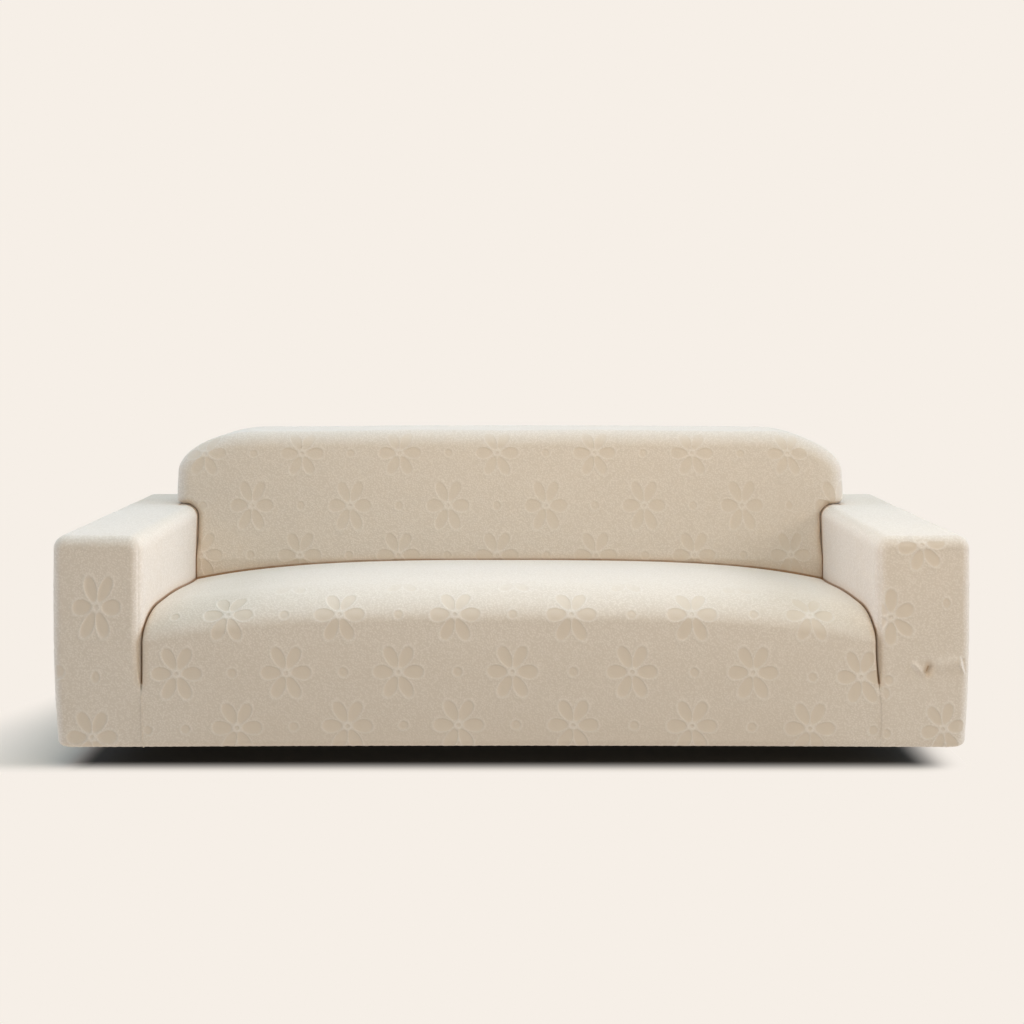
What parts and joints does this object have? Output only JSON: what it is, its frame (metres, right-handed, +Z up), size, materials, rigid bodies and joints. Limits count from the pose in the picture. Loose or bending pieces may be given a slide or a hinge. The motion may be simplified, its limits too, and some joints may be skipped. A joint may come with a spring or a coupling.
{
  "type": "sofa slipcover",
  "caption": "Fitted stretch slipcover for a wide sofa with square arms: rolled seat with a front apron, wrapped arms and back, open underneath, with an elastic hem drawn in.",
  "frame": {"origin": "on the underside of the cloth at the middle of the back's top edge, where the cover hangs on the sofa that it covers", "axes": "+X along the width towards the arm at the viewer's right, +Y from the front to the rear, +Z up"},
  "size_m": [2.2398, 0.86, 0.7288],
  "materials": {
    "cloth": "matte knitted stretch cloth, warm ivory to beige, fine pebbled weave with sunken six-petal flowers"
  },
  "bodies": {
    "root": {"seat_apron": "cloth", "inside_back": "cloth", "outside_back": "cloth", "arm_wrap_left": "cloth", "arm_wrap_right": "cloth", "arm_front_left": "cloth", "arm_front_right": "cloth"}
  },
  "joints": []
}
